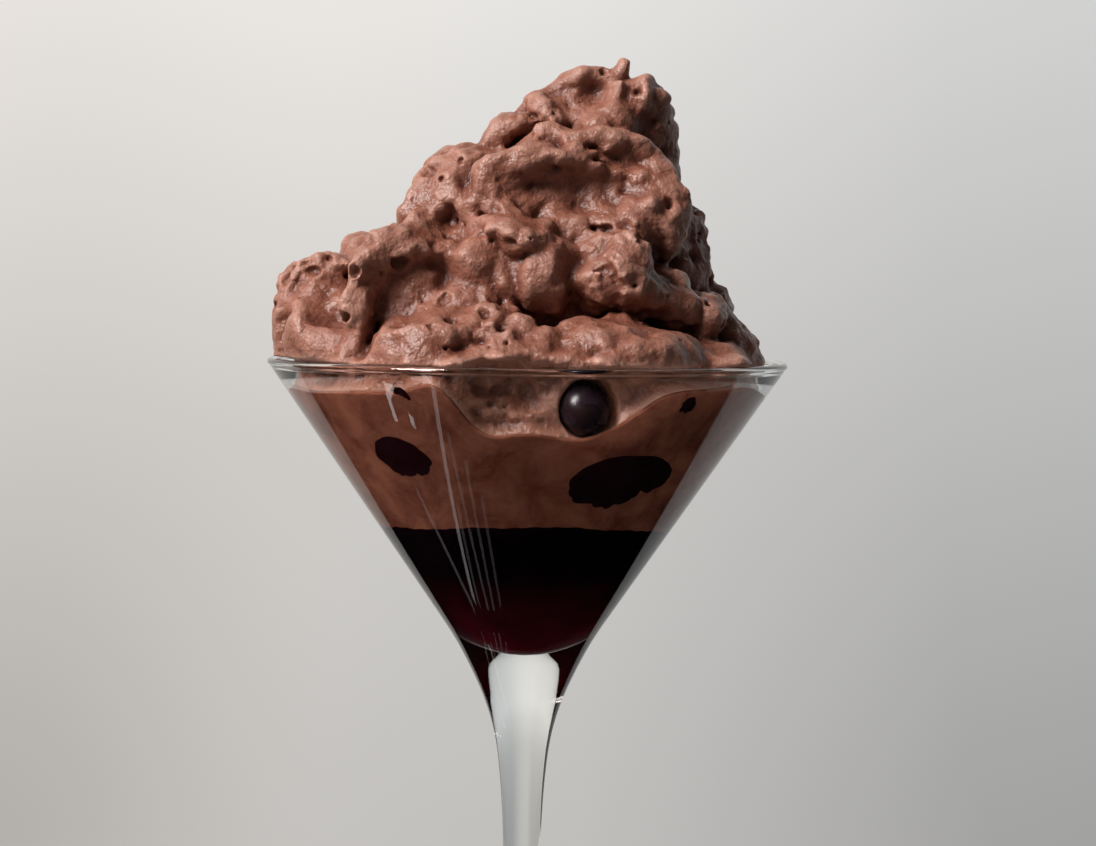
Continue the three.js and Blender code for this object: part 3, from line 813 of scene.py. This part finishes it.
# %% Pressed mousse
AROUND = 540  # points round the glass
MOUSSE_IN_WALL = 0.15
SAUCE_IN_WALL = 0.3
EDGE_ROUND = 0.9
EDGE_RIPPLE = 0.12
BEHIND_SAUCE = 1.5  # mm that it reaches down past the edge of the sauce
TURNS_IN, TURNS_DOWN = 6, 2.5  # mm from its edge to where it closes inside the heap


def closed_faces(rows, columns):
    """Faces between rows of points that go all the way round, and from the first and the last row
    to one point each. Those two points come after all the rows."""
    numbers = np.arange(rows * columns).reshape(rows, columns)
    beside = np.roll(numbers, -1, axis=1)
    quads = np.stack([numbers[:-1], beside[:-1], beside[1:], numbers[1:]], -1).reshape(-1, 4)
    bottom = [(numbers.size, b, a) for a, b in zip(numbers[0].tolist(), beside[0].tolist())]
    top = [(numbers.size + 1, a, b) for a, b in zip(numbers[-1].tolist(), beside[-1].tolist())]
    return quads.tolist() + bottom + top


def carried_round(profile):
    """Points and faces of a closed surface. profile gives [rows, columns, (radius, height)] for
    every azimuth. Its first and last rows lie on the axis, and become one point each."""
    azimuth = np.arange(profile.shape[1]) * 2 * math.pi / profile.shape[1]
    across, height = profile[1:-1, :, 0], profile[1:-1, :, 1]
    rows = np.stack([across * np.sin(azimuth), -across * np.cos(azimuth), height], -1)
    poles = [(0, 0, profile[0, :, 1].mean()), (0, 0, profile[-1, :, 1].mean())]
    return np.concatenate([rows.reshape(-1, 3), poles]), closed_faces(*across.shape)


def rows_of(*pairs):
    """Stacks (radius, height) pairs, each a number or an array round the glass, into rows."""
    rows = [[np.broadcast_to(value, AROUND) for value in pair] for pair in pairs]
    return np.array(rows).transpose(0, 2, 1)


azimuths = np.arange(AROUND) * 360 / AROUND
ripple = np.sin(np.radians(11 * azimuths)) * np.sin(np.radians(5 * azimuths))
edge = contact_height(azimuths) + EDGE_RIPPLE * ripple
foot_level = sauce_edge(azimuths) - BEHIND_SAUCE
levels = [foot_level + (edge - EDGE_ROUND - foot_level) * t for t in np.linspace(0, 1, 26)]
wall_rows = [(inner_radius(level) + MOUSSE_IN_WALL, level) for level in levels]
top_radius = inner_radius(edge - EDGE_ROUND) + MOUSSE_IN_WALL
edge_rows = [
    (top_radius - EDGE_ROUND * (1 - math.cos(a)) + CONE_SLOPE * EDGE_ROUND * math.sin(a),
     edge - EDGE_ROUND * (1 - math.sin(a)))
    for a in np.linspace(0, math.pi / 2, 6)[1:]
]
pressed_profile = rows_of(
    (0, foot_level), (inner_radius(foot_level) * 0.5, foot_level), *wall_rows, *edge_rows,
    (top_radius - TURNS_IN, edge - TURNS_DOWN), (0, HEAP_BOTTOM + 1),
)
pressed = piece(
    "mousse_in_glass", *carried_round(pressed_profile), "mousse", "mousse", pressed_mousse,
    {"hollow": np.zeros((pressed_profile.shape[0] - 2) * AROUND + 2)},
)

# %% [markdown]
# ## Berry sauce
#
# The sauce is a strained puree of dark berries: almost black where it is deep. Towards the bottom,
# where light gets through the thin sauce, a dark red glow is painted in patches. It is smooth and
# wet. One profile round the axis makes it, with its edge at the sauce line, and it also reaches a
# little into the wall.

# %% Berry sauce
SAUCE_DEEP = "#070103"
# painted glow: the dark red that stands in for light through the thin sauce near the bottom
SAUCE_PAINTED_GLOW = "#500C16"
PAINTED_GLOW_UP_TO = 17  # mm above the bottom of the inside
SINKS_OVER, SINKS = 2, 0.2  # mm inward from its edge, and mm down


def sauce_finish():
    """A wet strained puree, with a painted red glow in patches towards the bottom of the glass."""
    material, tree, output = finish_named("strained berry sauce")
    place = add(tree, "TexCoord").outputs["Object"]
    height = add(tree, "SeparateXYZ", {0: place}).outputs[2]
    thin = ramp(tree, height, INNER_BOTTOM * MM, (INNER_BOTTOM + PAINTED_GLOW_UP_TO) * MM, 1, 0)
    # painted glow: dark red in patches, fading out upwards from the bottom
    painted_glow = reckon(tree, "MULTIPLY", thin, noise(tree, place, 14, 2))
    colour = mix(tree, painted_glow, SAUCE_DEEP, SAUCE_PAINTED_GLOW)
    wet = add(tree, "BsdfPrincipled", {"Base Color": colour, "Roughness": 0.04, "IOR": 1.05})
    tree.links.new(wet.outputs[0], output.inputs["Surface"])
    return material


edge = sauce_edge(azimuths)
bottom = INNER_BOTTOM - SAUCE_IN_WALL
steps = np.linspace(0, 1, 24)[1:] ** 1.4
sauce_rows = [
    (inner_radius(INNER_BOTTOM + (edge - INNER_BOTTOM) * t) + SAUCE_IN_WALL,
     INNER_BOTTOM - SAUCE_IN_WALL * (1 - t) + (edge - INNER_BOTTOM) * t)
    for t in steps
]
top_rows = [(inner_radius(edge) - SINKS_OVER, edge - SINKS), (0, edge.min())]
sauce_profile = rows_of((0, bottom), *sauce_rows, *top_rows)
sauce = piece(
    "berry_sauce_fill", *carried_round(sauce_profile), "berry_sauce", "sauce", sauce_finish()
)

# %% [markdown]
# ## The glass
#
# The glass is blown soda-lime glass: clear, with a faint green in the thick stem, and a lip that
# was melted round. Its outline is a profile turned round the axis, fine enough that no facet
# shows in its highlights. Glass bends light twice, so the wall keeps its true thickness and the
# mesh is closed. Rays that only carry shadows pass straight through, as the thin wall of a real
# glass throws almost no shadow.

# %% Glass
FOOT_RADIUS = 39
FOOT_EDGE = 1.6
INSIDE_FROM = 1.6  # mm under the lip
STEM = [  # radius and height, from the foot to the start of the cone
    (24, 2.6), (12, 4), (7.2, 6.5), (5, 11), (4.3, 20), (4.1, 40), (4.1, 60), (4.5, 72),
    (5.2, 81), (6.1, 87.5), (7.4, 92.8), (9.1, 97.6), (10.8, 101.4), (12.8, 105.4), (14.95, 109.3),
    (17.3, 113),
]
CONE_TOP = (RIM_RADIUS - 0.3, RIM_HEIGHT - LIP - 0.4)  # radius and height, just under the lip
OUTER_SLOPE = (CONE_TOP[0] - STEM[-1][0]) / (CONE_TOP[1] - STEM[-1][1])


def rounded(points, steps):
    """A line through the points without corners: between two of them it is a cubic whose slopes
    there are half of the step from the point before to the point after."""
    p = np.array([points[0], *points, points[-1]], float)
    t = np.linspace(0, 1, steps, endpoint=False)[:, None, None]
    a, b, c, d = p[:-3], p[1:-2], p[2:-1], p[3:]
    line = b + 0.5 * t * (c - a) + t**2 * (a - 2.5 * b + 2 * c - 0.5 * d)
    line = line + t**3 * (1.5 * (b - c) + 0.5 * (d - a))
    return np.concatenate([line.transpose(1, 0, 2).reshape(-1, 2), p[-1:]])


def arc(middle, size, start, end, steps):
    """Points on an arc round a middle, from one angle to another in degrees."""
    angle = np.radians(np.linspace(start, end, steps))
    return np.stack([middle[0] + size * np.cos(angle), middle[1] + size * np.sin(angle)], 1)


def glass_finish():
    """Clear soda-lime glass, fire-polished."""
    material, tree, output = finish_named("clear soda-lime glass")
    clear = add(
        tree, "BsdfPrincipled",
        {"Base Color": linear("#FAFDFC"), "Roughness": 0.0, "IOR": 1.5, "Transmission Weight": 1.0},
    )
    through = add(tree, "BsdfTransparent", {"Color": linear("#F4F7F6")})
    shadow = add(tree, "LightPath").outputs["Is Shadow Ray"]
    mixed = blend(tree, shadow, clear.outputs[0], through.outputs[0])
    tree.links.new(mixed, output.inputs["Surface"])
    return material


foot = np.concatenate([
    [(0, 0), (20, 0), (FOOT_RADIUS - FOOT_EDGE / 2 - 0.5, 0)],
    arc((FOOT_RADIUS - FOOT_EDGE / 2, FOOT_EDGE / 2), FOOT_EDGE / 2, -90, 90, 10),
])
stem = rounded(STEM, 8)
rim = arc((RIM_RADIUS - LIP, RIM_HEIGHT - LIP), LIP, -12, 192, 16)
cone = np.linspace(STEM[-1], CONE_TOP, 24)[1:]
levels = INNER_BOTTOM + (INNER_DEPTH - INSIDE_FROM) * np.linspace(1, 0, 48) ** 2
inside = np.stack([inner_radius(levels), levels], 1)
outline = np.concatenate([foot, stem, cone, rim, inside])
glass_profile = np.repeat(outline[:, None, :], 288, axis=1)
glass = piece("cocktail_glass", *carried_round(glass_profile), "glass", "glass", glass_finish())

# %% [markdown]
# ## Berries
#
# The berries are whole and crushed dark ones. Where one is pressed on the wall, its skin lies
# flat on the glass in a patch with a ragged edge, so each is a ball of two angles, dented by a
# few waves, whose points are pulled back to the wall wherever they would pass it. The berry in
# the open hollow is whole, with a dull bloom on its skin.

# %% Berry skin
BERRY_CRUSHED = "#1A0508"
BERRY_WHOLE = "#1C0C0E"
BERRY_BLOOM = "#2C2634"


def berry_finish(name, skin, bloom, smooth, rough_most, bends):
    """Dark berry skin, with a waxy bloom where nothing has rubbed it off. The roughness goes from
    one value to the other in patches. bends is the index of refraction."""
    material, tree, output = finish_named(name)
    place = add(tree, "TexCoord").outputs["Object"]
    cloud = noise(tree, place, 3.5, 4)
    fine = noise(tree, place, 0.8, 2)
    colour = mix(tree, ramp(tree, cloud, 0.4, 0.7, 0, bloom), skin, BERRY_BLOOM)
    rough = ramp(tree, cloud, 0.3, 0.7, smooth, rough_most)
    bump = add(tree, "Bump", {"Height": fine, "Distance": 0.08 * MM, "Strength": 0.4})
    peel = add(
        tree, "BsdfPrincipled",
        {"Base Color": colour, "Roughness": rough, "IOR": bends, "Normal": bump.outputs[0]},
    )
    tree.links.new(peel.outputs[0], output.inputs["Surface"])
    return material


crushed_skin = berry_finish("crushed berry skin", BERRY_CRUSHED, 0.1, 0.22, 0.4, 1.05)
bloomed_skin = berry_finish("berry skin with bloom", BERRY_WHOLE, 0.5, 0.2, 0.34, 1.42)

# %% Berries
WALL_BERRIES = {  # azimuth, depth, inside the wall, half round, in and up, tilt, ragged
    "berry_left": (-38.6, 18.9, 1.6, 6.9, 6, 4.1, -16, 0.12),
    "berry_right": (30.4, 23.0, 1.8, 11.9, 7, 6.2, 4, 0.18),
    "berry_bit_left": (-30.4, 5.5, 0.7, 2.0, 2.2, 0.75, -12, 0.3),
    "berry_bit_right": (41.6, 7.3, 0.8, 2.6, 2.6, 1.3, 10, 0.35),
    "berry_back_1": (152, 22, 1.4, 7.2, 6.2, 5.2, 10, 0.12),
    "berry_back_2": (-118, 25, 1.2, 6.2, 5.6, 4.6, -16, 0.12),
}
BERRY_IN_WALL = 0.25  # mm
RAGGED_WAVES = [(2, 0.4), (3, 0.5), (5, 0.35), (9, 0.3), (17, 0.25), (23, 0.2)]  # turns, height


def ball_of(rows, columns):
    """Unit directions over a ball, as rows of latitude from the bottom, with their angles."""
    down = np.linspace(0, math.pi, rows)[:, None]
    round_it = np.arange(columns)[None, :] * 2 * math.pi / columns
    return np.broadcast_arrays(np.sin(down), -np.cos(down), round_it)


def berry_piece(name, points, node, material):
    """A piece from rows of points, whose first and last rows are one point each."""
    rows = points[1:-1]
    points = np.concatenate([rows.reshape(-1, 3), points[0, :1], points[-1, :1]])
    return piece(name, points, closed_faces(*rows.shape[:2]), node, "berry", material)


def wall_berry(name, azimuth, depth, inside, half_round, deep, high, tilt, ragged):
    """A ball whose pole looks at the wall. Its outline is bent in and out by waves, it is scaled,
    tilted and turned to its azimuth, and then held back at the wall."""
    out, toward, angle = ball_of(60, 96)
    wave = sum(a * np.sin(n * angle + 7 * n + azimuth) for n, a in RAGGED_WAVES)
    wide = out * (1 + ragged * wave)
    aside, up = wide * np.cos(angle) * half_round, wide * np.sin(angle) * high
    turned = (turn(azimuth, "Z") @ turn(-math.degrees(CONE_TILT), "X") @ turn(-tilt, "Y")).to_3x3()
    points = np.stack([aside, -toward * deep, up], -1) @ np.array(turned).T
    level = RIM_HEIGHT - depth
    points += bowl_place(azimuth, level, float(inner_radius(level)) - inside)
    across = np.hypot(points[..., 0], points[..., 1])
    held = np.minimum(across, inner_radius(points[..., 2]) + BERRY_IN_WALL) / across
    points[..., :2] *= held[..., None]
    return berry_piece(name + "_flesh", points, name, crushed_skin)


def front_berry(radius, height):
    """A whole berry: a ball that swells and sinks a little, in waves of both its angles."""
    out, up, angle = ball_of(72, 96)
    swell = 1 + 0.012 * np.sin(3 * angle + 1) * out + 0.01 * np.sin(5 * up + 2)
    wide = out * swell * radius
    points = np.stack([wide * np.cos(angle), wide * np.sin(angle), up * swell * height], -1)
    return berry_piece("berry_front_whole", points + front_berry_place(), "berry_front", bloomed_skin)


for name, size in WALL_BERRIES.items():
    wall_berry(name, *size)
front_berry(FRONT_BERRY["radius"], FRONT_BERRY["height"])

# %% [markdown]
# ## Studio
#
# A pale sweep runs from the table up behind the glass. It is painted where it is table, and glows
# by itself where it is wall, so that the background has the soft light of a bright room. That glow
# is painted light: stronger to the top and to the left, and a little warmer on the left, as the
# window's light would fall, with a painted pool of light low behind the glass. Under the foot the
# table gets painted shade, since the lamp counts twice there. Clear glass shows its shape only by
# what it mirrors, so the sweep is made darker for mirrored rays, a painted reflection, apart from
# the wall on the right and what the thick stem bends towards the eye. It is only seen from its
# front, so that it doesn't hide the glass when the camera goes round behind.
#
# One large soft source at the upper left, as from a window, lights the dessert, with a little
# light from all round. The fine bright streaks on a real glass are mirrored things on the table.
# Here they are thin strips of light, each put where the camera's look lands after its bounce.

# %% Sweep
SWEEP_LEFT, SWEEP_RIGHT = -0.8, 1.5  # m
SWEEP_FRONT, SWEEP_BACK, SWEEP_BEND, SWEEP_TOP = -0.9, 0.62, 0.22, 1.3
PAINT = "#D2D0CD"
# painted shade: under the foot the table is darker than the paint round it
PAINTED_SHADE_UNDER_FOOT = "#8E8C8A"  # the lamp counts twice there, through the glass and past it
# painted reflection and painted shade: what mirrored and soft rays find in place of the pale sweep
PAINTED_DARK_SURROUND = "#0A0A0A"
GLOW_FROM, GLOW_FULL = 0.24, 0.4  # m behind the axis, where paint turns into glow
DARK_SURROUND_UP_TO, DARK_SURROUND_ENDS, DARK_SURROUND_SLANT = 0.185, 0.2, 0.22  # m behind the axis, and m per m across
SOFT_RAYS_DARKER = 0.7
BRIGHT_BEHIND = 0.06  # m behind the axis, from where the stem finds it bright


def sweep_glow(tree, across, up):
    """How strongly the wall glows, as painted light: more to the top and to the left, as the window's
    light would fall, and in a painted pool of light low behind the glass. All places are in metres."""
    # painted light: the glow grows towards the top and to the left, as the window's light would fall
    height = ramp(tree, up, 0, 0.3, 0.41, 0.75)
    side = ramp(tree, across, -0.2, 0.2, 1.1, 0.88)
    # painted pool of light: the glow is stronger low down, between about x -0.19 and 0.155 m
    low = ramp(tree, up, 0, 0.12, 0.32, 0.1)
    left = ramp(tree, across, -0.19, -0.06, 0, 1, interpolation_type="SMOOTHSTEP")
    right = ramp(tree, across, 0.02, 0.155, 1, 0)
    painted_pool = reckon(tree, "MULTIPLY_ADD", reckon(tree, "MULTIPLY", left, right), low, 1.0)
    return reckon(tree, "MULTIPLY", reckon(tree, "MULTIPLY", height, side), painted_pool)


def sweep_finish():
    """Matt pale paint that turns into a glowing wall. Soft and mirrored rays find it darker than it
    looks, as painted shade and a painted reflection, as if dark cloths hung outside the picture.
    From behind it is clear."""
    material, tree, output = finish_named("matt pale paint")
    place = add(tree, "TexCoord").outputs["Object"]
    across, back, up = add(tree, "SeparateXYZ", {0: place}).outputs
    path = add(tree, "LightPath").outputs
    away = add(tree, "VectorMath", {0: place}, operation="LENGTH").outputs["Value"]
    # painted shade under the foot, within its radius
    open_table = ramp(tree, away, (FOOT_RADIUS - 0.5) * MM, FOOT_RADIUS * MM, 0, 1)
    paint_and_foot_shade = mix(tree, open_table, PAINTED_SHADE_UNDER_FOOT, PAINT)
    paint = add(tree, "BsdfDiffuse", {"Color": paint_and_foot_shade}).outputs[0]
    black = add(tree, "BsdfDiffuse", {"Color": linear(PAINTED_DARK_SURROUND)}).outputs[0]
    # painted light: the glowing wall is a little warmer to the left, under the window
    wall_colour = mix(tree, ramp(tree, across, -0.2, 0.2, 0, 1), "#FFFAF4", "#FEFEFD")
    strength = sweep_glow(tree, across, up)
    glow = add(tree, "Emission", {"Color": wall_colour, "Strength": strength}).outputs[0]
    seen = blend(tree, ramp(tree, back, GLOW_FROM, GLOW_FULL, 0, 1), paint, glow)

    # painted reflection: mirrored rays find the sweep near-black in front of a slanted line, and its
    # glow behind it
    slant = reckon(tree, "MULTIPLY_ADD", across, DARK_SURROUND_SLANT, back)
    dark = blend(tree, ramp(tree, slant, DARK_SURROUND_UP_TO, DARK_SURROUND_ENDS, 0, 1), black, glow)
    bounced = reckon(tree, "MINIMUM", path["Glossy Depth"], 1)
    through_stem = reckon(tree, "COMPARE", path["Transmission Depth"], 2, 0.5)
    back_half = reckon(tree, "GREATER_THAN", back, BRIGHT_BEHIND)
    bright = reckon(tree, "MULTIPLY", through_stem, back_half)
    mirrored = add(
        tree, "Math", {0: bounced, 1: bright}, operation="SUBTRACT", use_clamp=True
    ).outputs[0]
    seen = blend(tree, mirrored, seen, dark)
    soft = reckon(tree, "MULTIPLY", path["Is Diffuse Ray"], SOFT_RAYS_DARKER)
    front = blend(tree, soft, seen, black)
    behind = add(tree, "NewGeometry").outputs["Backfacing"]
    mixed = blend(tree, behind, front, add(tree, "BsdfTransparent").outputs[0])
    tree.links.new(mixed, output.inputs["Surface"])
    return material


bend = arc((SWEEP_BACK - SWEEP_BEND, SWEEP_BEND), SWEEP_BEND, -90, 0, 24)
section = np.concatenate([[(SWEEP_FRONT, 0)], bend, [(SWEEP_BACK, SWEEP_TOP)]])
sweep_points = [(x, *p) for x in (SWEEP_LEFT, SWEEP_RIGHT) for p in section.tolist()]
n = len(section)
sweep_mesh = bpy.data.meshes.new("sweep")
strips = [(i, i + n, i + n + 1, i + 1) for i in range(n - 1)]
sweep_mesh.from_pydata(sweep_points, [], strips)
sweep_mesh.polygons.foreach_set("use_smooth", np.ones(n - 1, bool))
sweep_mesh.materials.append(sweep_finish())
put("sweep", sweep_mesh)

# %% Window
AIM = Vector((0, 0, 0.18))
WINDOW_PLACE = (-0.8, -0.5, 1.0)
WINDOW_WATTS = 27


def lit_rectangle(name, across, along):
    """A rectangle of light, with its two sides in metres."""
    data = bpy.data.lights.new(name, "AREA")
    data.shape = "RECTANGLE"
    data.size, data.size_y = across, along
    return put(name, data)


window = lit_rectangle("window", 0.42, 0.5)
window.data.energy = WINDOW_WATTS
window.data.color = linear("#FFF6F2")[:3]
window.location = WINDOW_PLACE
window.rotation_euler = (AIM - window.location).to_track_quat("-Z", "Y").to_euler()

# %% Streaks on the glass
GLINT_LEVEL = 4  # mm above the table
GLINTS = [  # on the glass: azimuth and depth below the lip of both ends; mm wide, brightness
    (-20.8, 4, -29.6, 52, 5, 1.3), (-36.5, 27, -31.9, 54, 5, 0.45), (-23, 30, -27.2, 53, 4, 0.35),
    (-20, 14, -22.2, 54, 4, 0.4), (-17, 20, -18.4, 54, 4, 0.35), (-14, 28, -14, 53, 4, 0.3),
    (-30.6, 2.8, -33, 5.8, 6, 3), (-33, 5.8, -33.5, 12, 6, 3), (-28.7, 10.5, -29, 13.1, 6, 3),
]


def mirrored_on_table(azimuth, depth):
    """Where the camera's look at a point of the outer wall ends on the table after its bounce:
    the look less twice its part along the normal."""
    angle = math.radians(azimuth)
    aside = Vector((math.sin(angle), -math.cos(angle), 0))
    level = RIM_HEIGHT - depth
    point = aside * (CONE_TOP[0] - OUTER_SLOPE * (CONE_TOP[1] - level)) + Vector((0, 0, level))
    normal = (aside - Vector((0, 0, OUTER_SLOPE))).normalized()
    look = (point - camera.matrix_world.translation / MM).normalized()
    bounce = look - 2 * look.dot(normal) * normal
    return point + bounce * (point.z - GLINT_LEVEL) / -bounce.z


def glint(name, azimuth_1, depth_1, azimuth_2, depth_2, width, brightness):
    """A thin strip of light low over the table, which only mirrors show, as where a shiny thing
    catches the window. Its watts are pi times its area times its brightness."""
    ends = mirrored_on_table(azimuth_1, depth_1) * MM, mirrored_on_table(azimuth_2, depth_2) * MM
    along = ends[1] - ends[0]
    lamp = lit_rectangle(name, along.length, width * MM)
    lamp.data.energy = math.pi * lamp.data.size * lamp.data.size_y * brightness
    heading = turn(math.degrees(math.atan2(along.y, along.x)), "Z")
    lamp.matrix_world = Matrix.Translation((ends[0] + ends[1]) / 2) @ heading @ turn(180, "X")
    lamp.visible_camera = lamp.visible_diffuse = lamp.visible_transmission = False


for number, size in enumerate(GLINTS):
    glint(f"glint_{number}", *size)
print(f"{len(GLINTS)} streaks")

# %% Light from all round
ROOM_LIGHT, ROOM_MIRRORED = 0.1, 0.02  # its strength, and what mirrors find of it
world = bpy.data.worlds.new("room")
world.use_nodes = True
background = world.node_tree.nodes["Background"]
background.inputs["Color"].default_value = linear("#E8E4E2")
mirrored = add(world.node_tree, "LightPath").outputs["Is Glossy Ray"]
dim = ramp(world.node_tree, mirrored, 0, 1, ROOM_LIGHT, ROOM_MIRRORED)
world.node_tree.links.new(dim, background.inputs["Strength"])
bpy.context.scene.world = world
bpy.context.scene.view_settings.view_transform = "Standard"
